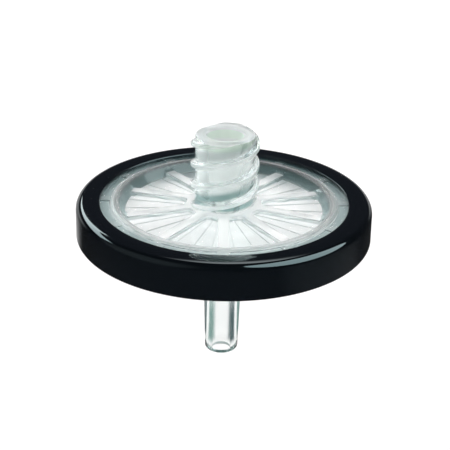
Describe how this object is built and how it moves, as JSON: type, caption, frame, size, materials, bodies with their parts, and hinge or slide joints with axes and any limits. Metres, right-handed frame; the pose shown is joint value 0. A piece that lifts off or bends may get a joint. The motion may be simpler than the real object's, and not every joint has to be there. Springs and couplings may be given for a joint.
{
  "type": "syringe filter",
  "caption": "Disposable disc syringe filter: clear ribbed shells around a white membrane, a black overmoulded rim, a threaded female Luer inlet and a male Luer slip outlet.",
  "frame": {"origin": "centre of the outlet tip's end face, on the filter's axis", "axes": "+Z along the filter's axis from the outlet tip to the inlet, +X and +Y across the disc, with a window rib on each of +Y and -Y"},
  "size_m": [0.0344, 0.0344, 0.0279],
  "materials": {
    "clear_plastic": "clear moulded plastic with a faint green-grey tint",
    "membrane": "white microporous membrane",
    "black_plastic": "glossy black moulded plastic"
  },
  "bodies": {
    "root": {"inlet_housing": "clear_plastic", "filter_membrane": "membrane", "outlet_housing": "clear_plastic", "overmoulded_ring": "black_plastic"}
  },
  "joints": []
}
